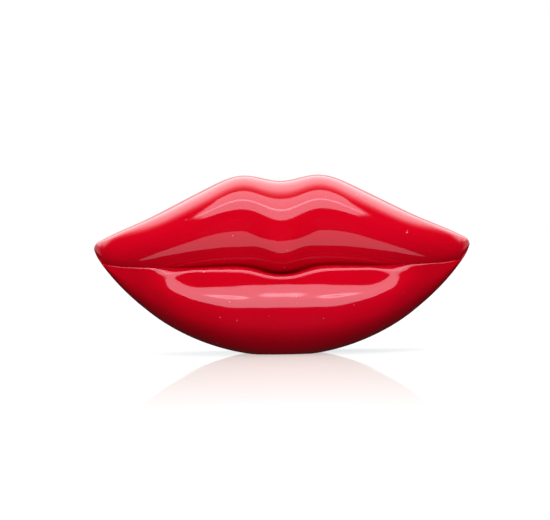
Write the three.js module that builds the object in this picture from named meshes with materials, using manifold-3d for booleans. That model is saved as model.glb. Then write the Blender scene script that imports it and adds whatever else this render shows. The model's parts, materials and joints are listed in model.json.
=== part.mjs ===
// Novelty desk telephone in the shape of a pair of closed lips.
// Millimetres, +Z up. The lips face -Y and the keypad faces +Y; the phone stands on its lower lip,
// and the origin is on the table under the middle of the body. The ear end is +X.
import * as THREE from "three";
import { mergeVertices } from "three/addons/utils/BufferGeometryUtils.js";
import Module from "manifold-3d";

const wasm = await Module();
wasm.setup();

// ---- Driving dimensions ----
const HALF_WIDTH = 108;
const RIM_Y = 8.5; // the widest outline, where the lips turn back into the side wall
const PARTING_Y = 16; // front shell in front, rear cover behind
const PARTING_GAP = 0.4;
const BACK_Y = 30;
const KEY_TOP_Y = 31;
const WALL = 2.6;
const FIT = 0.3; // gap kept between pieces that touch

const CORNER_Z = 60.8;
const CORNER_START = 105.5; // from here the outline rounds into the corner
const CORNER_DEPTH_START = 96; // and from here the bulge does
const END_X = HALF_WIDTH - 0.15; // the corner's very tip is left blunt
const LOWER_RADIUS = 127;
const LOWER_LOWEST = -0.8; // the lower arc's lowest point, before the foot is cut flat
const FOOT_Z = 0.4; // the flat underside; the rubber pads reach the table
const FLOOR_TOP = 5; // inner face of the thick floor over the foot
const MIDDLE_Z = 50; // the height that the back's outlines shrink towards

const BOARD = { x0: -52, x1: 49.5, z0: 17.5, z1: 78, y0: 16, y1: 17.6 };
const COVER_INNER_Y = 27;
const BEZEL_FLOOR_Y = 28.8;

const EAR = { x: 68, z: 50, dish: 18, depth: 2.2, capsule: 15 };
const MOUTHPIECE = { x: -74, z: 51, dish: 9, depth: 1.2, capsule: 4.85 };

const KEY_PITCH_X = 13.5;
const KEY_PITCH_Z = 14;
const KEYPAD_Z = 52;
const KEY = { x: 9.4, z: 10.6, lip: 1.1, corner: 1.6, bevel: 0.7, lipY: 25.4, stemY: 22.2 };
const SMALL_KEY = { ...KEY, x: 6, z: 11 };
const KEY_ROWS = [
  ["1", "2", "3"],
  ["4", "5", "6"],
  ["7", "8", "9"],
  ["star", "0", "hash"],
];

const JACK = { x: -40, z: 23, half: 6, y0: 17.9, y1: 29.7 };
const SLIDERS = [
  { name: "ringer_switch", x: 33, z: 23 },
  { name: "tone_switch", x: 47, z: 23 },
];
const SLIDER_TRAVEL = 3;

const COVER_SCREWS = [
  [93, 58.5],
  [-93, 58.5],
  [38, 82],
  [-38, 82],
  [30, 14],
  [-30, 14],
];
const SCREW = { head: 3, shank: 1.4, pilot: 1.7, well: 4.5, post: 3.7 };
const BOARD_SCREWS = [
  [45, 73],
  [-46, 73],
  [20, 23],
  [-24, 23],
];
const BOARD_SCREW = { head: 2.6, shank: 1.1, pilot: 1.4, hole: 1.4, boss: 3 };
const FEET = [
  [12, -8],
  [-12, -8],
  [12, 10],
  [-12, 10],
];

const HOOK = { x: 0, y: 1, travel: 3, tip: 4.1, flange: 6, stem: 2.2, flangeZ: FLOOR_TOP + 3.2 };
const GUIDE_Z = 15; // underside of the plate that guides the hook plunger
const LEVER = { z: 20.5, thick: 0.5, pivotX: -10.5, pivotRadius: 0.75 };
const SWITCH = { x0: -11.8, x1: 10, z0: 22, z1: 32, halfY: 3.2 };
const BALLAST = { half: 25.8, y0: -22.5, y1: -10.5, z0: 9, z1: 20.5 };

// ---- Outlines of the lips, seen from the front ----

// Natural cubic spline through the points, mirrored about x = 0; takes any x.
function mirroredSpline(half) {
  const points = [...half.slice(1).map(([x, v]) => [-x, v]).reverse(), ...half];
  const n = points.length;
  const bend = new Array(n).fill(0);
  const share = new Array(n).fill(0);
  for (let i = 1; i < n - 1; i++) {
    const [x0, v0] = points[i - 1];
    const [x1, v1] = points[i];
    const [x2, v2] = points[i + 1];
    const pivot = 2 * (x2 - x0) - (x1 - x0) * share[i - 1];
    share[i] = (x2 - x1) / pivot;
    bend[i] = (6 * ((v2 - v1) / (x2 - x1) - (v1 - v0) / (x1 - x0)) - (x1 - x0) * bend[i - 1]) / pivot;
  }
  for (let i = n - 2; i > 0; i--) bend[i] -= share[i] * bend[i + 1];
  return (x) => {
    const i = Math.max(0, Math.min(n - 2, points.findIndex(([px]) => px > x) - 1));
    const [x0, v0] = points[i];
    const [x1, v1] = points[i + 1];
    const h = x1 - x0;
    const a = (x1 - x) / h;
    const b = (x - x0) / h;
    return a * v0 + b * v1 + (((a ** 3 - a) * bend[i] + (b ** 3 - b) * bend[i + 1]) * h * h) / 6;
  };
}

const topLine = mirroredSpline([
  [0, 98.3],
  [9, 99.6],
  [20, 101.6],
  [30, 100.1],
  [42, 94.9],
  [60, 85.9],
  [80, 76.1],
  [95, 69.7],
  [108, 63.3],
]);
const mouthLine = mirroredSpline([
  [0, 45.4],
  [8, 46.6],
  [17, 49.3],
  [27, 50.3],
  [50, 49.8],
  [74, 50],
  [95, 51],
  [108, 53.5],
]);
const lowerArc = (x) => LOWER_LOWEST + LOWER_RADIUS - Math.sqrt(LOWER_RADIUS ** 2 - x * x);

// 1 along the lips, falling to 0 as a quarter circle at the very corner.
function cornerRound(x, start) {
  const over = Math.max(0, Math.abs(x) - start) / (HALF_WIDTH - start);
  return Math.sqrt(Math.max(0, 1 - over * over));
}
const roundedTo = (x, z) => CORNER_Z + (z - CORNER_Z) * cornerRound(x, CORNER_START);
const topEdge = (x) => roundedTo(x, topLine(x));
const bottomEdge = (x) => roundedTo(x, lowerArc(x));
const LEAST_LOWER_LIP = 0.12; // share of the height that the lower lip keeps at the corners
const lowerLipTop = (x) => bottomEdge(x) + LEAST_LOWER_LIP * (topEdge(x) - bottomEdge(x));
const seamEdge = (x) => Math.max(lowerLipTop(x), roundedTo(x, mouthLine(x)));

// ---- Sections of the lips, from front to back ----

// How far each crest, and the mouth line between them, stand in front of RIM_Y.
const upperCrest = mirroredSpline([
  [0, 32.5],
  [18, 29],
  [30, 28],
  [55, 25],
  [75, 20],
  [92, 15],
  [108, 9],
]);
const lowerCrest = mirroredSpline([
  [0, 39.5],
  [30, 37.5],
  [50, 32.5],
  [66, 26],
  [79, 17.6],
  [92, 14],
  [108, 8.8],
]);
const mouthDepth = mirroredSpline([
  [0, 16.5],
  [40, 16.5],
  [60, 17],
  [78, 16],
  [92, 13],
  [108, 8],
]);

// Each profile lists [share of its length, angle of the outward normal above level in degrees].
const UPPER_LIP = [
  [0, 86], [0.1, 68], [0.2, 55], [0.26, 46], [0.44, 25],
  [0.63, 0], [0.76, -25], [0.92, -45], [1, -62],
];
const UPPER_CORNER = [[0, 90], [0.1, 60], [0.24, 24], [0.5, 10], [0.75, 0], [0.9, -20], [1, -40]];
const LOWER_LIP = [
  [0, 88], [0.06, 82], [0.09, 74], [0.13, 25], [0.165, 16], [0.205, 25], [0.24, 33],
  [0.27, 36], [0.3, 33], [0.36, 24], [0.47, 3], [0.61, -40], [0.78, -90], [1, -90],
];
const LOWER_SIDE = [
  [0, 88], [0.06, 82], [0.09, 74], [0.13, 25], [0.17, 16], [0.225, 25], [0.28, 33],
  [0.31, 38], [0.345, 33], [0.405, 24], [0.5, 3], [0.62, -40], [0.78, -90], [1, -90],
];
const LOWER_TIP = [
  [0, 80], [0.07, 62], [0.1, 45], [0.14, 35], [0.2, 30], [0.29, 27], [0.35, 20], [0.42, 10],
  [0.52, -8], [0.64, -40], [0.78, -90], [1, -90],
];
const LOWER_CORNER = [
  [0, 75], [0.04, 55], [0.07, 20], [0.12, 8], [0.35, 0], [0.55, -14], [0.7, -45], [0.82, -90], [1, -90],
];
// Each later profile takes over from the one before it between two distances from the middle.
const UPPER_PROFILES = { first: UPPER_LIP, later: [[60, 96, UPPER_CORNER]] };
const LOWER_PROFILES = {
  first: LOWER_LIP,
  later: [[5, 32, LOWER_SIDE], [47, 71, LOWER_TIP], [71, 82, LOWER_CORNER]],
};
const PROFILE_STEPS = 120;
const BOW_WIDTH = 11.5; // of the dip in the middle of the mouth line and of the top
const BOW_DROP = 2.8; // how much deeper the dip is down the upper lip
const BOW_LIFT = 4.6; // how fast the dip is lost down the lower lip

function angleIn(profile, share) {
  const i = Math.max(1, profile.findIndex(([s]) => s >= share));
  const [s0, a0] = profile[i - 1];
  const [s1, a1] = profile[i];
  return a0 + ((a1 - a0) * (share - s0)) / (s1 - s0);
}

function angleAt(profiles, x, share) {
  let angle = angleIn(profiles.first, share);
  for (const [from, to, profile] of profiles.later) {
    angle += (angleIn(profile, share) - angle) * THREE.MathUtils.smoothstep(Math.abs(x), from, to);
  }
  return angle;
}

// Points [depth, fall] down one lip: depth goes from `from` out to `crest` and back to `to`.
function lipCurve(profiles, x, drop, from, crest, to, count) {
  const path = [[0, 0]];
  for (let i = 0; i < PROFILE_STEPS; i++) {
    const angle = THREE.MathUtils.degToRad(angleAt(profiles, x, (i + 0.5) / PROFILE_STEPS));
    const [out, down] = path[i];
    path.push([out + Math.sin(angle), down + Math.cos(angle)]);
  }
  const [lastOut, lastDown] = path[PROFILE_STEPS];
  const most = Math.max(...path.map(([out]) => out));
  const peak = path.findIndex(([out]) => out === most);
  return Array.from({ length: count + 1 }, (_, k) => {
    const i = Math.round((k * PROFILE_STEPS) / count);
    const [out, down] = path[i];
    const rise = from + ((crest - from) * out) / most;
    const back = to + ((crest - to) * (out - lastOut)) / (most - lastOut);
    return [i <= peak ? rise : back, (down * drop) / lastDown];
  });
}

// The lips' skin at x, as [x, y, z] from the top of the rim, round the front, to the bottom of the rim.
function section(x, count) {
  const edge = cornerRound(x, CORNER_DEPTH_START);
  const bow = Math.exp(-((x / BOW_WIDTH) ** 2));
  const [top, seam, bottom] = [topEdge(x), seamEdge(x), bottomEdge(x)];
  const [upper, mouth, lower] = [upperCrest(x) * edge, mouthDepth(x) * edge, lowerCrest(x) * edge];
  const over = lipCurve(UPPER_PROFILES, x, top - seam, 0, upper, mouth, count);
  const under = lipCurve(LOWER_PROFILES, x, seam - bottom, mouth, lower, 0, count);
  const deeper = (fall) => {
    const share = fall / (top - seam);
    return fall + BOW_DROP * bow * (1 - (1 - share) ** 4) * (1 - share ** 4);
  };
  const shallower = (fall) => {
    const share = fall / (seam - bottom);
    return fall - BOW_LIFT * bow * (1 - (1 - share) ** 8) * (1 - share) ** 2;
  };
  return [
    ...over.map(([depth, fall]) => [x, RIM_Y - depth, top - deeper(fall)]),
    ...under.slice(1).map(([depth, fall]) => [x, RIM_Y - depth, seam - shallower(fall)]),
  ];
}

// ---- Solids ----

function toSolid(geometry) {
  const bare = geometry.clone();
  bare.deleteAttribute("normal");
  bare.deleteAttribute("uv");
  const merged = mergeVertices(bare, 1e-4);
  const vertProperties = new Float32Array(merged.attributes.position.array);
  const triVerts = new Uint32Array(merged.index.array);
  const made = new wasm.Manifold(new wasm.Mesh({ numProp: 3, vertProperties, triVerts }));
  if (made.volume() > 0) return made;
  return new wasm.Manifold(new wasm.Mesh({ numProp: 3, vertProperties, triVerts: triVerts.reverse() }));
}

const join = (...solids) => solids.reduce((a, b) => a.add(b));
const cut = (solid, ...tools) => tools.reduce((a, b) => a.subtract(b), solid);

function block(x0, x1, y0, y1, z0, z1) {
  const box = new THREE.BoxGeometry(x1 - x0, y1 - y0, z1 - z0);
  return toSolid(box.translate((x0 + x1) / 2, (y0 + y1) / 2, (z0 + z1) / 2));
}

function rodY(x, z, radius, y0, y1, sides = 24) {
  return toSolid(new THREE.CylinderGeometry(radius, radius, y1 - y0, sides).translate(x, (y0 + y1) / 2, z));
}

function rodZ(x, y, radius, z0, z1, sides = 24) {
  const rod = new THREE.CylinderGeometry(radius, radius, z1 - z0, sides).rotateX(Math.PI / 2);
  return toSolid(rod.translate(x, y, (z0 + z1) / 2));
}

// A turned piece about an axis along Y; the profile is [radius, y].
function turned(x, z, profile, sides = 32) {
  const points = profile.map(([r, y]) => new THREE.Vector2(r, y));
  return toSolid(new THREE.LatheGeometry(points, sides).translate(x, 0, z));
}

// A plate with rounded corners facing +Y, its front edge bevelled.
function roundedPlate(x, z, width, height, corner, y0, y1, bevel = 0) {
  const [w, h] = [width / 2 - corner, height / 2 - corner];
  const shape = new THREE.Shape();
  shape.absarc(w, h, corner, 0, Math.PI / 2);
  shape.absarc(-w, h, corner, Math.PI / 2, Math.PI);
  shape.absarc(-w, -h, corner, Math.PI, 1.5 * Math.PI);
  shape.absarc(w, -h, corner, 1.5 * Math.PI, 2 * Math.PI);
  const plate = new THREE.ExtrudeGeometry(shape, {
    depth: y1 - y0 - 2 * bevel,
    curveSegments: 2,
    bevelEnabled: bevel > 0,
    bevelThickness: bevel,
    bevelSize: bevel,
    bevelOffset: -bevel,
    bevelSegments: 1,
  });
  return toSolid(plate.rotateX(Math.PI / 2).translate(x, y1 - bevel, z));
}

function tube(points, radius, steps, sides = 6) {
  const ring = Array.from({ length: sides }, (_, i) => {
    const a = (2 * Math.PI * i) / sides;
    return new THREE.Vector2(radius * Math.cos(a), radius * Math.sin(a));
  });
  const path = new THREE.CatmullRomCurve3(points.map((p) => new THREE.Vector3(...p)));
  return toSolid(new THREE.ExtrudeGeometry(new THREE.Shape(ring), { steps, extrudePath: path }));
}

// A closed solid through loops of equal length, with flat ends.
function loft(loops) {
  const n = loops[0].length;
  const points = loops.flat();
  const index = [];
  for (let i = 0; i + 1 < loops.length; i++)
    for (let j = 0; j < n; j++) {
      const [a, b] = [i * n + j, i * n + ((j + 1) % n)];
      index.push(a, b, a + n, b, b + n, a + n);
    }
  const ends = [loops[0], loops.at(-1)];
  ends.forEach((loop, end) => {
    const centre = points.push([0, 1, 2].map((k) => loop.reduce((sum, p) => sum + p[k], 0) / n)) - 1;
    const first = end * (loops.length - 1) * n;
    for (let j = 0; j < n; j++) {
      const [a, b] = [first + j, first + ((j + 1) % n)];
      index.push(...(end ? [a, b, centre] : [b, a, centre]));
    }
  });
  const geometry = new THREE.BufferGeometry();
  geometry.setAttribute("position", new THREE.Float32BufferAttribute(points.flat(), 3));
  return toSolid(geometry.setIndex(index));
}

// ---- The group, its materials and its meshes ----

const phone = new THREE.Group();
const finish = (color, roughness, metalness = 0) =>
  new THREE.MeshStandardMaterial({ color, roughness, metalness });
const GLOSS_RED = finish(0xc4000c, 0.12);
const SATIN_RED = finish(0xb0040e, 0.35);
const BLACK = finish(0x1a1a1c, 0.4);
const KEY_IVORY = finish(0xe9e4d6, 0.35);
const RUBBER = finish(0x2a2a2c, 0.85);
const SILICONE = finish(0xa7a9ab, 0.7);
const LAMINATE = finish(0xb98a4a, 0.55);
const STEEL = finish(0xb9bcc0, 0.3, 1);
const GOLD = finish(0xd4a947, 0.25, 1);
const FOAM = finish(0x3a3a3d, 0.95);
const WIRE = finish(0xb31217, 0.5);
const CAPACITOR = finish(0x24315c, 0.4);

function piece(name, solid, material) {
  const { numProp, vertProperties, triVerts } = solid.getMesh();
  const geometry = new THREE.BufferGeometry();
  const positions = Float32Array.from({ length: (vertProperties.length / numProp) * 3 }, (_, i) => {
    return vertProperties[Math.floor(i / 3) * numProp + (i % 3)];
  });
  geometry.setAttribute("position", new THREE.BufferAttribute(positions, 3));
  geometry.setIndex(new THREE.BufferAttribute(triVerts, 1));
  geometry.computeVertexNormals();
  const mesh = new THREE.Mesh(geometry, material);
  mesh.name = name;
  phone.add(mesh);
}

// ---- Front shell ----

// Stations from -reach to reach, closer together towards the corners.
function stations(reach, count) {
  return Array.from({ length: count + 1 }, (_, i) => reach * Math.sin((Math.PI / 2) * ((2 * i) / count - 1)));
}

function frontBody() {
  return loft(
    stations(END_X, 36).map((x) => {
      const skin = section(x, 12);
      return [[x, PARTING_Y, topEdge(x)], ...skin, [x, PARTING_Y, bottomEdge(x)]];
    }),
  );
}

// How much further a line's edge moves along Z than square to itself.
const steepness = (line, x) => Math.hypot(1, line(x + 0.5) - line(x - 0.5));
const insideTop = (x, inset) => topLine(x) - inset * steepness(topLine, x);
const insideBottom = (x, inset) => Math.max(lowerArc(x) + inset * steepness(lowerArc, x), FOOT_Z + inset);

// What lies deeper than `wall` behind the skin: every point of the skin moved inwards by it.
function frontHollow(wall) {
  const grid = stations(97.5 - wall, 20).map((x) => section(x, 9).map((p) => new THREE.Vector3(...p)));
  const near = (list, i) => list[THREE.MathUtils.clamp(i, 0, list.length - 1)];
  const inwards = (i, j) => {
    const across = near(grid, i + 1)[j].clone().sub(near(grid, i - 1)[j]);
    const down = near(grid[i], j + 1).clone().sub(near(grid[i], j - 1));
    const normal = across.cross(down).normalize();
    return normal.y > 0 ? normal : normal.negate();
  };
  return loft(
    grid.map((row, i) => {
      const x = row[0].x;
      const [top, bottom] = [insideTop(x, wall), insideBottom(x, wall)];
      const inner = row.slice(1, -2).map((p, j) => p.clone().addScaledVector(inwards(i, j + 1), wall));
      return [
        [x, PARTING_Y + 1, top],
        [x, RIM_Y, top],
        ...inner.map((p) => [x, p.y, THREE.MathUtils.clamp(p.z, bottom, top)]),
        [x, PARTING_Y + 1, bottom],
      ];
    }),
  );
}

function makeFrontShell() {
  const body = cut(frontBody(), block(-HALF_WIDTH, HALF_WIDTH, -60, 60, -20, FOOT_Z));
  const posts = COVER_SCREWS.map(([x, z]) => rodY(x, z, SCREW.post, -20, 21.7, 14));
  const floor = block(-24, 24, -14, 15.4, 0, FLOOR_TOP);
  const saddles = [-16, 16].map((x) => block(x - 1.2, x + 1.2, -26, -9, 0, BALLAST.z0 - FIT));
  const stops = [-1, 1].map((side) => {
    const x = side * (BALLAST.half + FIT + 1.2);
    return block(x - 1.2, x + 1.2, -30, -8, 0, 18);
  });
  const room = frontHollow(WALL / 2).add(block(-101, 101, PARTING_Y - 0.5, 22, 6, 90));
  const fittings = join(floor, ...saddles, ...stops, ...posts).intersect(room);
  const pilots = COVER_SCREWS.map(([x, z]) => rodY(x, z, SCREW.pilot, 8, 22, 12));
  const pads = FEET.map(([x, y]) => rodZ(x, y, 4.3, -1, 1.9, 20));
  const plungerHole = rodZ(HOOK.x, HOOK.y, HOOK.tip + 0.4, -1, FLOOR_TOP + 1);
  const bracketPilots = [-18, 18].map((x) => rodZ(x, HOOK.y, 1.4, 1.8, FLOOR_TOP + 1, 12));
  const shell = cut(body, frontHollow(WALL)).add(fittings);
  piece("front_shell", cut(shell, ...pilots, ...pads, plungerHole, ...bracketPilots), GLOSS_RED);
}

// ---- Rear cover ----

// The lips' outline at depth y, drawn in by `inset` all round.
function outline(y, inset) {
  const side = stations(END_X, 28);
  const [shrinkX, shrinkZ] = [1 - inset / HALF_WIDTH, 1 - inset / MIDDLE_Z];
  const place = (x, z) => [x * shrinkX, y, MIDDLE_Z + (Math.max(z, FOOT_Z) - MIDDLE_Z) * shrinkZ];
  return [...side.map((x) => place(x, topEdge(x))), ...side.reverse().map((x) => place(x, bottomEdge(x)))];
}

// The outline moved in square to itself, for the inside; its ends are cut off at |x| = reach.
function innerOutline(y, inset, reach) {
  const side = stations(reach, 18);
  return [
    ...side.map((x) => [x, y, insideTop(x, inset)]),
    ...side.reverse().map((x) => [x, y, insideBottom(x, inset)]),
  ];
}

const COVER_LAYERS = [
  [PARTING_Y + PARTING_GAP, 0.4],
  [19.5, 0.7],
  [23.5, 1.7],
  [26.8, 3.4],
  [29, 5.8],
  [BACK_Y, 8.6],
];

function ringOfHoles(x, z, rings, radius, y0, y1) {
  return rings.flatMap(([count, at]) =>
    Array.from({ length: count }, (_, i) => {
      const a = (2 * Math.PI * i) / count;
      return rodY(x + at * Math.cos(a), z + at * Math.sin(a), radius, y0, y1, 8);
    }),
  );
}

// A shallow round dish in the back face.
function dish({ x, z, dish: radius, depth }) {
  const slope = [1, 0.8, 0.45].map((r) => [radius * r, BACK_Y - depth * (1 - r ** 2)]);
  return turned(x, z, [[0, BACK_Y + 2], [radius, BACK_Y + 2], ...slope, [0, BACK_Y - depth]]);
}

function keyPlaces() {
  const digits = KEY_ROWS.flatMap((row, r) =>
    row.map((label, c) => ({
      name: "key_" + label,
      x: KEY_PITCH_X * (1.5 - r),
      z: KEYPAD_Z + KEY_PITCH_Z * (c - 1),
      size: KEY,
    })),
  );
  const smallX = -KEY_PITCH_X * 2.45;
  return [
    ...digits,
    { name: "key_redial", x: smallX, z: KEYPAD_Z - KEY_PITCH_Z / 2, size: SMALL_KEY },
    { name: "key_mute", x: smallX, z: KEYPAD_Z + KEY_PITCH_Z / 2, size: SMALL_KEY },
  ];
}

function keyOpenings(y0, y1, gap) {
  return keyPlaces().map(({ x, z, size }) =>
    roundedPlate(x, z, size.x + 2 * gap, size.z + 2 * gap, size.corner, y0, y1),
  );
}

const BEZEL = { x: -5.2, z: KEYPAD_Z, width: 69, height: 43.4, corner: 4 };

function makeRearCover() {
  const outer = loft(COVER_LAYERS.map(([y, inset]) => outline(y, inset)));
  const cavityLayers = [[PARTING_Y - 1, 3.4, 93], [22, 4.2, 92], [25, 6.2, 90], [COVER_INNER_Y, 9.2, 88]];
  const cavity = loft(cavityLayers.map((layer) => innerOutline(...layer)));
  const tongue = cut(
    loft([innerOutline(13.6, 3.1, 86), innerOutline(20, 3.1, 86)]),
    loft([innerOutline(12, 4.5, 90), innerOutline(21, 4.5, 90)]),
    block(-120, 120, 0, 40, -10, FLOOR_TOP + 1),
  );
  const wells = COVER_SCREWS.map(([x, z]) => rodY(x, z, SCREW.well, 22, 28, 18));
  const boardPosts = BOARD_SCREWS.map(([x, z]) => rodY(x, z, BOARD_SCREW.boss, BOARD.y1 + FIT, 28, 14));
  const earSeat = join(rodY(EAR.x, EAR.z, 19.4, 24.4, 29, 32), rodY(EAR.x, EAR.z, 17, 14.5, 25, 32));
  const mouthSeat = join(
    rodY(MOUTHPIECE.x, MOUTHPIECE.z, 10, 25.6, 29, 24),
    rodY(MOUTHPIECE.x, MOUTHPIECE.z, 8.4, 17.5, 26, 24),
  );
  const shell = join(cut(outer, cavity), tongue, ...wells, ...boardPosts, earSeat, mouthSeat);
  const sunk = COVER_SCREWS.flatMap(([x, z]) => [
    rodY(x, z, SCREW.head + 0.4, 24.5, BACK_Y + 1, 18),
    rodY(x, z, SCREW.pilot, 20, 26, 12),
  ]);
  const postClearances = COVER_SCREWS.map(([x, z]) => rodY(x, z, SCREW.post + 0.4, 10, 22, 14));
  const boardPilots = BOARD_SCREWS.map(([x, z]) => rodY(x, z, BOARD_SCREW.pilot, 15, 24.5, 12));
  const seats = [
    rodY(EAR.x, EAR.z, EAR.capsule + 0.35, 10, 24.4, 32),
    rodY(MOUTHPIECE.x, MOUTHPIECE.z, 7.35, 10, 25.6, 24),
  ];
  const holes = [
    ...ringOfHoles(EAR.x, EAR.z, [[1, 0], [6, 4.4], [10, 8.6]], 1.15, 20, 31),
    ...ringOfHoles(MOUTHPIECE.x, MOUTHPIECE.z, [[1, 0], [6, 4]], 0.9, 20, 31),
  ];
  const slots = SLIDERS.map(({ x, z }) => roundedPlate(x, z, SLIDER_TRAVEL * 2 + 0.8, 3.4, 0.6, 20, 31));
  const slotDips = SLIDERS.map(({ x, z }) => roundedPlate(x, z, 12, 6.4, 2, 28.9, 31));
  const hole = JACK.half + FIT;
  const socket = block(JACK.x - hole, JACK.x + hole, 20, 31, JACK.z - hole, JACK.z + hole);
  const [seatWidth, seatHeight] = [BEZEL.width + 2 * FIT, BEZEL.height + 2 * FIT];
  const bezelSeat = roundedPlate(BEZEL.x, BEZEL.z, seatWidth, seatHeight, BEZEL.corner, BEZEL_FLOOR_Y, 31);
  const made = cut(
    shell, ...sunk, ...postClearances, ...boardPilots, ...seats, dish(EAR), dish(MOUTHPIECE),
    ...holes, ...slots, ...slotDips, socket, bezelSeat, ...keyOpenings(20, 31, 0.25),
  );
  piece("rear_cover", made, SATIN_RED);
}

// ---- Keypad ----

function makeKeypad() {
  const { x: middleX, z: middleZ, width, height, corner } = BEZEL;
  const plate = roundedPlate(middleX, middleZ, width, height, corner, BEZEL_FLOOR_Y + FIT, BACK_Y);
  piece("keypad_bezel", cut(plate, ...keyOpenings(20, 31, 0.35)), BLACK);
  for (const { name, x, z, size } of keyPlaces()) {
    const cap = roundedPlate(x, z, size.x, size.z, size.corner, size.lipY + 0.4, KEY_TOP_Y, size.bevel);
    const lip = block(
      x - size.x / 2 - size.lip, x + size.x / 2 + size.lip, size.lipY, size.lipY + 1.2,
      z - size.z / 2 - size.lip, z + size.z / 2 + size.lip,
    );
    const stem = block(x - 1.8, x + 1.8, size.stemY, size.lipY + 0.6, z - 1.8, z + 1.8);
    piece(name, join(cap, lip, stem), KEY_IVORY);
  }
  const sheet = block(-39, 28, BOARD.y1 + 0.25, BOARD.y1 + 1.3, KEYPAD_Z - 21.5, KEYPAD_Z + 21.5);
  const domes = keyPlaces().map(({ x, z, size }) => {
    const [foot, top] = [BOARD.y1 + 1, size.stemY - FIT];
    return toSolid(new THREE.CylinderGeometry(2, 3.4, top - foot, 10).translate(x, (foot + top) / 2, z));
  });
  piece("keypad_mat", join(sheet, ...domes), SILICONE);
}

// ---- Boards and what is on them ----

function makeMainBoard() {
  const { x0, x1, y0, y1, z0, z1 } = BOARD;
  const holes = BOARD_SCREWS.map(([x, z]) => rodY(x, z, BOARD_SCREW.hole, 10, 20, 12));
  const notches = [-1, 1].map((side) => block(side * 50 - 22.5, side * 50 + 22.5, 10, 20, 10, 19.2));
  piece("main_board", cut(block(x0, x1, y0, y1, z0, z1), ...holes, ...notches), LAMINATE);
  BOARD_SCREWS.forEach(([x, z], i) => {
    const head = rodY(x, z, BOARD_SCREW.head, y0 - 1.9, y0 - FIT, 12);
    piece(`board_screw_${i + 1}`, join(head, rodY(x, z, BOARD_SCREW.shank, y0 - 1, 23.8, 12)), STEEL);
  });

  const face = y0 - FIT;
  const legs = [0, 1, 2, 3, 4, 5, 6, 7, 8].flatMap((i) =>
    [41.6, 49.2].map((z) => block(i * 2.54 - 20.8, i * 2.54 - 20, 13.2, face, z - 0.5, z + 0.5)),
  );
  piece("dialler_chip", join(block(-21.5, 1, 12, 14.6, 42, 48.8), ...legs), BLACK);
  const large = turned(-33, 63, [[0, 4.5], [3.6, 4.5], [4, 5], [4, face], [0, face]], 20);
  piece("filter_capacitor", large, CAPACITOR);
  const small = turned(-39, 36, [[0, 7.5], [2.8, 7.5], [3.2, 8], [3.2, face], [0, face]], 20);
  piece("coupling_capacitor", small, CAPACITOR);
  const sounder = turned(24, 60, [[0, 10], [3, 10], [3, 9], [11, 9], [12, 10], [12, face], [0, face]]);
  piece("ringer_sounder", sounder, BLACK);
}

function makeLineJack() {
  const { x, z, half, y0, y1 } = JACK;
  const body = block(x - half, x + half, y0, y1, z - half, z + half);
  const cavity = block(x - 5, x + 5, y0 + 3, y1 + 1, z - 3.6, z + 3.4);
  const latchWay = block(x - 2.2, x + 2.2, y0 + 6, y1 + 1, z - 5, z - 3.4);
  piece("line_jack", cut(body, cavity, latchWay), BLACK);
  const bar = block(x - 3.6, x + 3.6, y0 + 3.3, y0 + 4.6, z + 1.9, z + 3.1);
  const wires = [-2.7, -0.9, 0.9, 2.7].map((at) =>
    block(x + at - 0.3, x + at + 0.3, y0 + 4, y0 + 9.5, z + 1.6, z + 2.2),
  );
  piece("line_jack_contacts", join(bar, ...wires), GOLD);
}

function makeSliders() {
  for (const { name, x, z } of SLIDERS) {
    const slot = block(x - 4, x + 4, 19.2, 23, z - 1.6, z + 1.6);
    piece(`${name}_body`, cut(block(x - 5.2, x + 5.2, 17.9, 22.4, z - 3, z + 3), slot), STEEL);
    const stem = block(x, x + SLIDER_TRAVEL, 19.5, 29.4, z - 1.3, z + 1.3);
    const grips = [0, 1, 2].map((i) => block(x + i * 1.1, x + i * 1.1 + 0.8, 29, 30.4, z - 1.3, z + 1.3));
    piece(`${name}_knob`, join(stem, ...grips), BLACK);
  }
}

// ---- Receiver and microphone ----

function makeReceiver() {
  const { x, z, capsule } = EAR;
  const profile = [[0, 12.2], [8, 12.2], [8.6, 13.6], [capsule, 14.2], [capsule, 22.4], [13, 23], [0, 23]];
  piece("receiver_capsule", turned(x, z, profile), BLACK);
  const ring = [[11, 23.3], [capsule - 0.2, 23.3], [capsule - 0.2, 24.1], [11, 24.1], [11, 23.3]];
  piece("receiver_gasket", turned(x, z, ring), FOAM);
}

function makeMicrophone() {
  const { x, z, capsule } = MOUTHPIECE;
  const boot = [
    [capsule + 0.2, 18.5], [7, 18.5], [7, 25.3], [capsule - 1, 25.3],
    [capsule - 1, 25], [capsule + 0.2, 25], [capsule + 0.2, 18.5],
  ];
  piece("microphone_boot", turned(x, z, boot, 24), RUBBER);
  piece("microphone_capsule", rodY(x, z, capsule, 18.7, 24.7), STEEL);
}

function makeLeads() {
  const front = BOARD.y0 - FIT - 0.1;
  const leads = {
    receiver_lead: [
      [65, 11.8, 45], [64.8, 10, 44.6], [57, 7, 42], [47, 9, 43], [44, 13, 43.5], [44, front, 43.5],
    ],
    microphone_lead: [
      [-74, 18.3, 51], [-73.8, 16, 51.2], [-66, 10, 53], [-53, 9, 55], [-48, 13, 54], [-48, front, 54],
    ],
    hook_lead: [
      [4, -2.9, 27.5], [4.1, -5, 28.5], [5, -7, 33], [8, -2, 39], [11, 12, 39], [11, front, 39],
    ],
  };
  for (const [name, route] of Object.entries(leads)) piece(name, tube(route, 0.8, 18), WIRE);
}

// ---- Hook switch in the foot ----

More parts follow.
